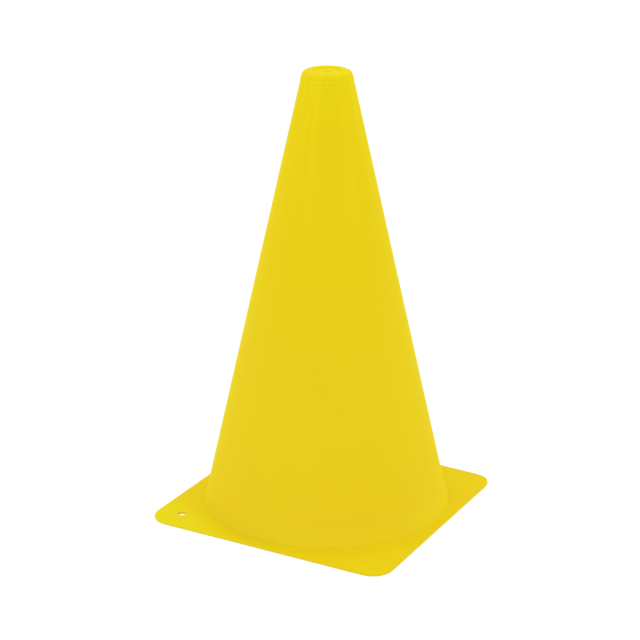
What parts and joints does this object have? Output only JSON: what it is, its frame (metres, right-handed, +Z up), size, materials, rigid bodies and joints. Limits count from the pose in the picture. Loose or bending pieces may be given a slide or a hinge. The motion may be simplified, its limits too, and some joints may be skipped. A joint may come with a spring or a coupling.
{
  "type": "traffic cone",
  "caption": "Small one-piece plastic traffic cone: a hollow closed-top cone on a thin square plate with round corners and a hanging hole, open below so that cones stack.",
  "frame": {"origin": "on the floor, in the plane of the plate's underside, on the cone's axis", "axes": "+Z up along the cone's axis; +X and +Y square to the plate's sides, with the hanging hole in the corner at -X, -Y"},
  "size_m": [0.1366, 0.1366, 0.23],
  "materials": {
    "yellow_polyethylene": "semi-gloss, slightly translucent soft polyethylene, coloured through"
  },
  "bodies": {
    "root": {"moulded_cone": "yellow_polyethylene"}
  },
  "joints": []
}
